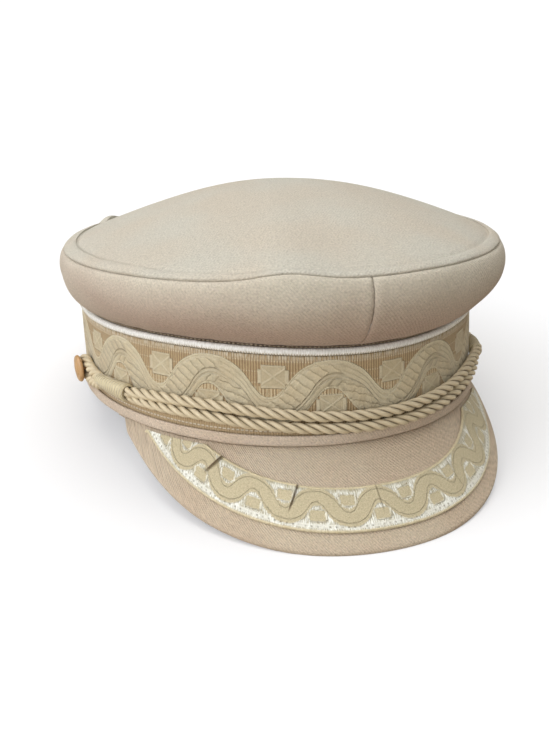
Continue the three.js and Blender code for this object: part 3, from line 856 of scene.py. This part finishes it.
def crown_side(name, start, end, node, material):
    """One of the side's two panels. Its ends turn in at the seams."""
    seam = 0.015
    fine = np.array([0, 0.15, 0.3, 0.5, 0.8, 1.2, 1.8])
    middle = np.linspace(start + 2.6, end - 2.6, 190)
    degrees = np.concatenate([start + seam + fine, middle, end - seam - fine[::-1]])
    offsets, heights = side_profile(degrees)
    share = np.linspace(0, 1, offsets.shape[1])[None]
    to_seam = np.minimum(degrees - start, end - degrees)[:, None] * 1.75
    shown = smoothed((share - 0.06) / 0.08)
    points = on_oval(degrees[:, None], offsets, heights)
    wobble = unevenness(points, "side") + unevenness(points, "side_small")
    puckers = np.sin(np.radians(degrees[:, None]) * 46 + unevenness(points, "puckers"))
    low = hump(share, 0.12, 0.12) * 0.3
    relief = shown * (wobble * hump(share, 0.55, 0.4) + puckers * low)
    relief -= 0.75 * np.exp(-to_seam / 0.55) * smoothed((share - 0.05) / 0.05)
    relief += 0.25 * hump(to_seam, 2.2, 1.6) * shown
    points = on_oval(degrees[:, None], offsets + relief, heights)
    uv = paired(arc_length(degrees)[:, None], lengths(points, 1))
    piece = grid_piece(name, points, uv, material, nodes=[node], slot="cap_twill")
    return thicken(piece, CLOTH - 0.3)


def crown_piping(material):
    """A folded strip of cloth that lies over the edge of the top."""
    degrees = around(STEPS["piping"])
    offset, _ = rim_at(degrees)
    edge = on_oval(degrees, offset, 0)
    reach = np.hypot(edge[:, 0], edge[:, 1])
    width = look_up(PIPING, wrapped(degrees), "width")
    thickness = look_up(PIPING, wrapped(degrees), "thickness")
    floor = -0.25
    pinched = sum(hump(wrapped(degrees), *fold) for fold in PINCH)
    thickness = thickness * (1 + unevenness(edge, "piping") + pinched)
    columns = []
    turns = np.linspace(-150, 150, 19)
    for a in np.radians(turns):
        inwards = width * 0.5 - (width * 0.5 + 0.3) * math.cos(a)
        rise = math.sin(a)
        if -math.pi / 2 < a < 0:
            rise = -math.sqrt(-rise)
        above = floor + thickness * 0.5 * (1 + rise) * 0.98
        share = 1 - inwards / reach
        columns.append(on_oval(degrees, offset - inwards, top_height(degrees, np.minimum(share, 1)) + above))
    for inwards, above in ((width * 0.9, floor), (width * 0.5, floor), (width * 0.1, floor)):
        share = 1 - inwards / reach
        columns.append(on_oval(degrees, offset - inwards, top_height(degrees, share) + above))
    points = np.stack(columns, 1)[:, ::-1]
    return ring_piece("crown_piping_cloth", points, degrees, material,
                      nodes=["crown_piping"], slot="cap_twill")


# Band

def band(material):
    outside = -RIBBON - GAP
    inside = outside - BAND_WALL
    foot, head = BINDING_THICKNESS + GAP, BAND_HEIGHT - 0.2
    section = [(inside + flare(foot), foot), (outside + flare(foot), foot), (outside, head), (inside, head)]
    offsets, heights = np.array(rounded(section, 3, 0.1)).T
    degrees = around(STEPS["band"])
    points = on_oval(degrees[:, None], offsets, heights)
    return ring_piece("band_wall", points, degrees, material, nodes=["band"], slot="cap_twill")


def band_ribbon(material):
    """The ribbon's outer face is drawn finely, because its pattern stands in relief."""
    degrees = around(STEPS["band_ribbon"])
    foot = BINDING_HEIGHT - 0.8
    head = BAND_HEIGHT - SATIN_HEIGHT - GAP
    heights = np.concatenate([np.linspace(foot, head, 24), [head, foot]])
    inwards = np.concatenate([np.zeros(24), [-RIBBON, -RIBBON]])
    points = on_oval(degrees[:, None], inwards + flare(heights), heights)
    waves = unevenness(points, "band_ribbon")
    points = on_oval(degrees[:, None], inwards + flare(heights) + waves, heights)
    u = np.append(arc_length(degrees), arc_length(180.0))[:, None]
    uv = paired(u, np.append(heights, heights[0]))
    return grid_piece("band_ribbon_weave_painted_light", points, uv, material, closed_rows=True, closed_columns=True,
                      nodes=["band_ribbon"], slot="band_ribbon")


def satin_edge(material):
    """A roll of satin stitch along the top of the band, with fine puckers."""
    degrees = around(STEPS["satin"])
    foot = BAND_HEIGHT - SATIN_HEIGHT
    middle = BAND_HEIGHT - SATIN_HEIGHT / 2
    turns = np.radians(np.linspace(-88, 88, 13))
    offsets = np.concatenate([0.05 + SATIN_BULGE * np.cos(turns), [-RIBBON, -RIBBON]])
    heights = np.concatenate([middle + (SATIN_HEIGHT / 2 - 0.02) * np.sin(turns), [BAND_HEIGHT, foot]])
    lengths_round = arc_length(degrees)[:, None]
    pucker = 0.05 * np.sin(lengths_round * 2 * math.pi / 2.1) + 0.07 * np.sin(lengths_round / 3.1)
    on_roll = np.concatenate([np.cos(turns), [0, 0]])[None]
    points = on_oval(degrees[:, None], offsets + pucker * on_roll, heights[None])
    return ring_piece("satin_edge_roll", points, degrees, material, nodes=["satin_edge"], slot="satin")


def press_flat(points):
    """Moves what lies below the floor up onto it, as soft cloth is pressed flat."""
    height = -points[..., 1] * TILT_SIN + points[..., 2] * TILT_COS + PLACE[2]
    return points + np.maximum(-height, 0)[..., None] * np.array([0, -TILT_SIN, TILT_COS])


def band_binding(material):
    """A strip of cloth folded round the band's lower edge."""
    lean = BAND_FLARE
    wall = -RIBBON - GAP - BAND_WALL
    out = 0.3 + lean
    inner = wall - GAP + lean
    thickness = BINDING_THICKNESS
    head = BINDING_HEIGHT
    section = [
        (inner - thickness, 0), (out + thickness, 0), (out + thickness, head - 0.1), (out, head),
        (out, head - 1.6), (lean - RIBBON, head - 1.6), (lean - RIBBON, thickness), (inner, thickness),
        (inner, head), (inner - thickness, head),
    ]
    section = rounded(section, 4, 0.3)
    degrees = around(STEPS["binding"])
    offsets, heights = np.array(section).T
    points = on_oval(degrees[:, None], offsets[None], heights[None])
    outer = (offsets > lean)[None]
    points = on_oval(degrees[:, None], offsets + outer * unevenness(points, "binding"), heights[None])
    return ring_piece("band_binding_fold", press_flat(points), degrees, material,
                      nodes=["band_binding"], slot="cap_twill")


# Peak

def peak_length(degrees):
    share = np.minimum(1, np.abs(degrees) / PEAK["half_angle"])
    return PEAK["least"] + (PEAK["length"] - PEAK["least"]) * (1 - share ** PEAK["shape"]) ** PEAK["taper"]


def over_peak(degrees, along, above):
    """Points over the peak, by the distance from the band and the height square to its surface."""
    share = degrees / PEAK["half_angle"]
    first = np.radians(PEAK["slope"] + PEAK["side_slope"] * share ** 2 - PEAK["bend"])
    turn = math.radians(2 * PEAK["bend"]) / peak_length(degrees)
    slope = first + turn * along
    offset = BAND_FLARE + (np.sin(slope) - np.sin(first)) / turn + above * np.sin(slope)
    height = -GAP + (np.cos(slope) - np.cos(first)) / turn + above * np.cos(slope)
    return on_oval(degrees, offset, height)


def peak(material):
    """A stiff board covered with cloth that rolls round its edge."""
    radius = PEAK["thickness"] / 2
    degrees = np.linspace(-PEAK["half_angle"], PEAK["half_angle"], 260)
    shown = smoothed((67 - np.abs(degrees)) / 7)
    end = np.maximum(peak_length(degrees) - radius, 0.1) * shown - 2.4 * (1 - shown)
    columns = []
    root = BAND_FLARE - PEAK["flange"]
    columns.append(on_oval(degrees, root, -GAP - PEAK["thickness"] * 0.8))
    for share in np.linspace(0, 1, 40):
        columns.append(over_peak(degrees, end * share, -PEAK["thickness"]))
    for a in np.radians(np.linspace(-75, 75, 11)):
        columns.append(over_peak(degrees, end + radius * math.cos(a), -radius + radius * math.sin(a)))
    for share in np.linspace(1, 0, 60):
        columns.append(over_peak(degrees, end * share, 0))
    columns.append(on_oval(degrees, root, -GAP))
    points = np.stack(columns, 1)
    points[..., 2] += unevenness(points, "peak") * np.clip(end / 10, 0, 1)[:, None]
    points = press_flat(points)
    uv = paired(points[..., 0], lengths(points, 1))
    return grid_piece("peak_board", points, uv, material, caps=True,
                      nodes=["peak"], slot="cap_twill")


def ribbon_line():
    """Length along the ribbon's middle at each angle, from the front."""
    fine = np.linspace(-68, 68, 1361)
    middle = PEAK_RIBBON["line_margin"] + PEAK_RIBBON["width"] / 2
    line = over_peak(fine, np.maximum(peak_length(fine) - middle, 0), 1.3)
    length = lengths(line[None], 1)[0]
    return fine, length - np.interp(0, fine, length)


def pleat_relief(length, margin):
    """How far the ribbon's pleats stand up: each rises slowly on its left and drops at its crease."""
    relief = np.zeros_like(length)
    for pleat in PLEATS:
        past, share = past_pleat(pleat, length, margin)
        fade = smoothed((1 - share) / 0.55)
        rising = np.exp(np.minimum(past, 0) / 2.6 - np.maximum(past, 0) / 0.16)
        relief += pleat["rise"] * fade * (rising - 0.75 * hump(past, 0.4, 0.32))
    return relief


def peak_ribbon(material):
    degrees, line = ribbon_line()
    reach = PEAK_RIBBON["reach"]
    ends = np.interp([-reach, reach], degrees, line)
    length = np.arange(ends[0], ends[1], 0.33)
    degrees = np.interp(length, line, degrees)
    margin = PEAK_RIBBON["margin"] - PEAK_RIBBON["lean"] * length
    outer = np.maximum(peak_length(degrees) - margin, PEAK_RIBBON["root"] + 1.2)
    inner = np.maximum(outer - PEAK_RIBBON["width"], PEAK_RIBBON["root"])
    shares = np.linspace(0, 1, 54)
    along = inner[:, None] + (outer - inner)[:, None] * shares
    from_edge = peak_length(degrees)[:, None] - along
    length = np.broadcast_to(length[:, None], along.shape)
    angle = np.broadcast_to(degrees[:, None], along.shape)
    top = GAP + RIBBON * 0.85 + pleat_relief(length, from_edge)
    top += unevenness(over_peak(angle, along, 0), "peak_ribbon")
    top = np.maximum(top, GAP + 0.25)
    upper = over_peak(angle, along, top)
    upper[:, [0, -1]] = over_peak(angle, along, (top - GAP) * 0.45 + GAP)[:, [0, -1]]
    lower = over_peak(angle, along, np.full_like(along, GAP))[:, [-1, 0]]
    points = np.concatenate([upper, lower], axis=1)[:, ::-1]
    v = from_edge + PEAK_RIBBON["lean"] * length
    v = np.concatenate([v, v[:, [-1, 0]]], axis=1)[:, ::-1]
    uv = paired(length[:, :1], np.concatenate([v, v[:, :1]], axis=1))
    return grid_piece("peak_ribbon_weave", points, uv, material, closed_columns=True, caps=True,
                      nodes=["peak_ribbon"], slot="peak_ribbon")


# Cords, sleeves and buttons

def tangents(route):
    steps = np.gradient(route, axis=0)
    return steps / np.linalg.norm(steps, axis=1, keepdims=True)


def squared(route, outward):
    """Two unit vectors across a route at each point: outward, made square to it, and upward."""
    tangent = tangents(route)
    outward = outward - tangent * np.sum(outward * tangent, axis=1, keepdims=True)
    outward /= np.linalg.norm(outward, axis=1, keepdims=True)
    return outward, np.cross(outward, tangent)


def along_band(route):
    """The same for a route along the band, where outward is away from the head."""
    return squared(route, route * np.array([1, 1, 0]) / np.array([HALF_WIDTH ** 2, HALF_LENGTH ** 2, 1]))


def tube_piece(name, grids, material, inside_out=False, **words):
    """One mesh of several closed tubes, each a grid of points with capped ends."""
    step = 1 if inside_out else -1
    points, faces, uvs, base = [], [], [], 0
    for grid in grids:
        rows, columns = grid.shape[:2]
        flat, seamed = grid_faces(rows, columns, False, True)
        closed = np.concatenate([grid, grid[:, :1]], axis=1)
        uv = np.stack([lengths(closed, 0), lengths(closed, 1)], -1).reshape(-1, 2)
        last = base + (rows - 1) * columns
        faces += (flat + base)[:, ::step].tolist()
        faces += [list(range(base, base + columns))[::-step], list(range(last, last + columns))[::step]]
        uvs += [uv[seamed[:, ::step]].reshape(-1, 2), np.zeros((2 * columns, 2))]
        points.append(grid.reshape(-1, 3))
        base += rows * columns
    return make_mesh(name, np.concatenate(points), faces, np.concatenate(uvs), material, **words)


def twisted(route, outward, upward, yarn, lay, phase=0.0):
    """The strands of a laid cord, each a grid of points whose rings start away from the cord's middle."""
    strand = yarn["diameter"] * yarn["strand"]
    circle = np.linspace(0, 2 * math.pi, yarn["sides"], endpoint=False)[:, None]
    grids = []
    for k in range(STRANDS):
        turn = (-2 * math.pi * lengths(route, 0) / lay + phase + 2 * math.pi * k / STRANDS)[:, None]
        line = route + (yarn["diameter"] / 2 - strand) * (np.cos(turn) * outward + np.sin(turn) * upward)
        out, up = squared(line, line - route)
        grids.append(line[:, None] + strand * (np.cos(circle) * out[:, None] + np.sin(circle) * up[:, None]))
    return grids


def cord(name, column, phase, node, material):
    course = np.array(CORD_COURSE)
    heights = course[:, column] + CORD["parted"] * (1 if column == 1 else -1)
    apart = course[:, 1] - course[:, 2]
    squeezed = np.maximum(0, CORD["diameter"] - apart) * (0.45 if column == 1 else -0.05)
    route = smooth_route(on_oval(course[:, 0], CORD["offset"] + squeezed + flare(heights), heights), 620)
    return tube_piece(name, twisted(route, *along_band(route), CORD, CORD["lay"], phase), material,
                      nodes=[node], slot="cord")


def sleeve(name, front, back, front_height, back_height, girth, node, material):
    """Turns of thread wound side by side round both cords, wider and open at the front."""
    count, sides = 150, 30
    share = np.linspace(0, 1, count)
    degrees = back + (front - back) * share
    height = back_height + (front_height - back_height) * share
    route = on_oval(degrees, CORD["offset"] + SLEEVE["out"] - 2.5 * (1 - girth) + flare(height), height)
    outward, upward = along_band(route)
    turns = np.linspace(0, 2 * math.pi, sides, endpoint=False)
    length = lengths(route, 0)[:, None]
    to_mouth = length[-1] - length
    slanted = length + SLEEVE["slant"] * np.sin(turns)
    wraps = np.abs(np.sin(math.pi * slanted / SLEEVE["turn"])) ** 0.7
    collar = 0.1 * girth ** 4 * np.exp(-(to_mouth - 1.0) ** 2)
    closing = np.sqrt(np.clip(length / 0.9, 0.04, 1)) * np.sqrt(np.clip(to_mouth / 0.7, 0.72, 1))
    slimmer = 0.8 + 0.2 * smoothed(length / 9)
    swell = girth * closing * slimmer * (1 + collar) + 0.07 * wraps

    # The last three rings line the open mouth
    rows = np.append(np.arange(count), [149, 140, 120])
    swell = np.concatenate([swell, np.full((3, sides), 0.76 * girth)])
    wider = SLEEVE["wider"] * share[rows, None]
    across = (np.cos(turns) * (SLEEVE["across"] + wider) * swell)[..., None] * outward[rows, None]
    upright = (np.sin(turns) * (SLEEVE["upright"] + wider) * swell)[..., None] * upward[rows, None]
    return tube_piece(name, [route[rows, None] + across + upright], material, inside_out=front < back,
                      nodes=[node], slot="cord")


def smooth_route(points, count):
    """A smooth curve through points, with evenly spaced steps."""
    points = np.array(points, float)
    knots = lengths(points, 0)
    padded = np.concatenate([points[:1] * 2 - points[1:2], points, points[-1:] * 2 - points[-2:-1]])
    place = np.linspace(0, knots[-1], count)
    i = np.minimum(np.searchsorted(knots, place, side="right") - 1, len(points) - 2)
    s = ((place - knots[i]) / (knots[i + 1] - knots[i]))[:, None]
    a, b, c, d = (padded[i + k] for k in range(4))
    bend, twist = 2 * a - 5 * b + 4 * c - d, 3 * b - a - 3 * c + d
    return 0.5 * (2 * b + (c - a) * s + bend * s ** 2 + twist * s ** 3)


def cord_loop(name, side, front_height_change, node, material):
    """The cord from a sleeve round behind the button and back into the sleeve."""
    course = np.array(LOOP_COURSE)
    to_sleeve = np.clip((83 - course[:, 0]) / 13, 0, 1)
    degrees = course[:, 0] - (side > 0) * 2.0 * to_sleeve
    heights = course[:, 1] + front_height_change * to_sleeve
    route = smooth_route(on_oval(side * degrees, LOOP["offset"] + flare(heights), heights), 360)
    outward = outwards(side * BUTTON["angle"])
    grids = twisted(route, outward, np.cross(outward, tangents(route)), LOOP, side * LOOP["lay"])
    return tube_piece(name, grids, material, nodes=[node], slot="cord")


def button(name, side, node, material):
    """A domed button with a rolled rim, on a short stem."""
    radius = BUTTON["diameter"] / 2
    rise = BUTTON["thickness"]
    stem, sunk = BUTTON["stem"] / 2, -5.0
    corners = [(0.02, sunk), (stem, sunk), (stem, 0)]
    corners += [(radius * across, rise * up) for across, up in BUTTON_PROFILE]
    corners.append((0.02, rise))
    profile = smooth_route(corners, 70)[:, :, None, None]
    turns = np.linspace(0, 2 * math.pi, 64, endpoint=False)[:, None]
    foot = on_oval(side * BUTTON["angle"], BUTTON["offset"] + flare(BUTTON["height"]), BUTTON["height"])
    direction = outwards(side * BUTTON["angle"])
    circle = np.cos(turns) * np.cross([0, 0, 1], direction) + np.sin(turns) * np.array([0, 0, 1.0])
    grid = foot + profile[:, 1] * direction + profile[:, 0] * circle
    return tube_piece(name, [grid[:, ::-1]], material, nodes=[node], slot="button")


def band_stitches(material):
    """The row of stitches that holds the crown to the satin, in the recess between them."""
    rings, sides = 5, 6
    share = np.linspace(0, 1, rings)[:, None, None]
    radius = np.array([0.35, 0.9, 1.0, 0.9, 0.35])[:, None, None] * STITCH["width"] / 2
    turns = np.linspace(0, 2 * math.pi, sides, endpoint=False)[:, None]
    rows, _ = grid_faces(rings, sides, False, True)
    caps = [list(range(sides))[::-1], list(range((rings - 1) * sides, rings * sides))]
    whole = rows[:, ::-1].tolist() + caps
    points, faces = [], []
    for k, degrees in enumerate(around(STITCH["count"])):
        ends = np.array([degrees, degrees + STITCH["length"]])
        start, end = on_oval(ends, STITCH["offset"], STITCH["height"])
        outward = outwards(degrees)
        side = np.cross(end - start, outward)
        side /= np.linalg.norm(side)
        bead = radius * (np.cos(turns) * side + np.sin(turns) * outward)
        points.append(start + (end - start) * share + bead)
        faces += [[corner + k * rings * sides for corner in face] for face in whole]
    corners = sum(len(face) for face in faces)
    return make_mesh("crown_stitches", np.reshape(points, (-1, 3)), faces, np.zeros((corners, 2)), material,
                     slot="cord")


# Camera, light and floor

def row_matrix(right, up, back, location):
    """The matrix of an object from its axes and place in the cap's own frame."""
    turn = Matrix.Rotation(-TILT, 3, "X")
    axes = Matrix([turn @ Vector(axis) for axis in (right, up, back)]).transposed().to_4x4()
    axes.translation = Vector(to_row(location))
    return axes


def make_camera():
    azimuth, elevation, roll = math.radians(-18.5), math.radians(18.1), math.radians(0.5)
    distance, focal, frame_height = 480, 1000, 733
    middle, aim = (274.5, 366.5), (271.5, 364.0)
    back = np.array([math.sin(azimuth) * math.cos(elevation), -math.cos(azimuth) * math.cos(elevation),
                     math.sin(elevation)])
    right = np.array([math.cos(azimuth), math.sin(azimuth), 0])
    up = np.cross(back, right)
    right, up = (math.cos(roll) * right - math.sin(roll) * up, math.sin(roll) * right + math.cos(roll) * up)
    data = bpy.data.cameras.new("camera")
    data.sensor_width = 36
    data.lens = 36 * focal / frame_height
    data.shift_x = (middle[0] - aim[0]) / frame_height
    data.shift_y = (aim[1] - middle[1]) / frame_height
    data.clip_start, data.clip_end = 0.01, 50
    camera = new_object("camera", data)
    camera.matrix_world = row_matrix(right, up, back, back * distance)
    bpy.context.scene.camera = camera


def make_sun(name, direction, angle, irradiance, colour):
    """Soft parallel light from a direction. Irradiance is what a white floor gives back."""
    data = bpy.data.lights.new(name, "SUN")
    data.angle = math.radians(angle)
    towards = Vector(direction).normalized()
    data.energy = irradiance * math.pi / towards.z
    data.color = colour
    light = new_object(name, data)
    light.rotation_mode = "QUATERNION"
    light.rotation_quaternion = towards.to_track_quat("Z", "Y")


def make_floor():
    """A floor that looks white, although it throws back less light than a white one, and warmer."""
    half = 6.0
    mesh = bpy.data.meshes.new("floor")
    corners = [(-half, -half, 0), (half, -half, 0), (half, half, 0), (-half, half, 0)]
    mesh.from_pydata(corners, [], [(0, 1, 2, 3)])
    graph = Graph("floor_white", 0.9)
    seen = Value(graph, graph.add("ShaderNodeLightPath").outputs["Is Camera Ray"])
    graph.shader.inputs["Emission Color"].default_value = (0.98, 0.98, 1, 1)
    graph.join(seen * 0.3, graph.shader.inputs["Emission Strength"])
    mesh.materials.append(graph.finish(graph.mix(seen, (0.44, 0.38, 0.3, 1), (0.6, 0.6, 0.61, 1))))
    floor = new_object("floor", mesh)


def make_world():
    """A dim room, a little lighter overhead and to the right."""
    world = bpy.data.worlds.new("studio")
    world.use_nodes = True
    tree = world.node_tree
    place = tree.nodes.new("ShaderNodeTexCoord")
    facing = tree.nodes.new("ShaderNodeVectorMath")
    facing.operation = "DOT_PRODUCT"
    facing.inputs[1].default_value = Vector((0.6, -0.1, 0.79))
    tree.links.new(place.outputs["Generated"], facing.inputs[0])
    ramp = tree.nodes.new("ShaderNodeValToRGB")
    ramp.color_ramp.elements[0].position = 0.0
    ramp.color_ramp.elements[0].color = (0.04, 0.033, 0.026, 1)
    ramp.color_ramp.elements[1].position = 0.85
    ramp.color_ramp.elements[1].color = (0.12, 0.12, 0.11, 1)
    tree.links.new(facing.outputs["Value"], ramp.inputs[0])
    tree.links.new(ramp.outputs[0], tree.nodes["Background"].inputs["Color"])
    bpy.context.scene.world = world


def make_studio():
    make_world()
    bpy.context.scene.view_settings.view_transform = "Standard"
    make_sun("overhead", (0.04, 0.2, 1), 60, 0.63, (1.0, 0.99, 0.96))
    make_sun("right_fill", (1, 0.1, 0.8), 60, 0.08, (1.0, 1.0, 0.97))
    make_sun("window", (-1, 0.1, 0.7), 60, 0.31, (0.98, 1.0, 1.03))
    make_sun("front_fill", (-0.8, -0.85, 0.5), 60, 0.205, (1.0, 1.0, 1.0))


# The whole cap

def make_cap():
    twill_side_painted_shade = twill_material("twill_side_painted_shade", CLOTH_SIDE, 1.0, 0.04, CLOTH_SIDE_PAINTED_SHADE)
    twill_top = twill_material("twill_top", CLOTH_TOP, -1.0, 0.015)
    twill_peak = twill_material("twill_peak", CLOTH_PEAK, 1.0, 0.09)
    cord_yarn = cord_material()
    tan = button_material()
    thread = thread_material()
    crown_top(twill_top)
    crown_side("crown_side_left_cloth", -180, 0, "crown_side_left", twill_side_painted_shade)
    crown_side("crown_side_right_cloth", 0, 180, "crown_side_right", twill_side_painted_shade)
    crown_piping(twill_material("twill_piping", CLOTH_TOP, 1.0, 0.04))
    band(twill_peak)
    band_ribbon(band_ribbon_material())
    satin_edge(satin_material())
    # Painted light: the binding's twill is lighter than the rest of the cap's cloth
    band_binding(twill_material("twill_binding_painted_light", CLOTH_BINDING_PAINTED_LIGHT))
    peak(twill_peak)
    peak_ribbon(peak_ribbon_material())
    cord("cord_upper_twist", 1, 0.4, "cord_upper", cord_yarn)
    cord("cord_lower_twist", 2, 1.4, "cord_lower", cord_yarn)
    wound_yarn = wound_material()
    for name, *course in SLEEVES:
        side = 1 if course[0] > 0 else -1
        sleeve(f"sleeve_{name}_wound", *course, f"cord_sleeve_{name}", wound_yarn)
        cord_loop(f"loop_{name}_twist", side, course[3] - SLEEVES[0][4], f"cord_loop_{name}", cord_yarn)
        button(f"button_{name}_domed", side, f"button_{name}", tan)
    band_stitches(thread)


make_camera()
make_studio()
make_floor()
make_cap()
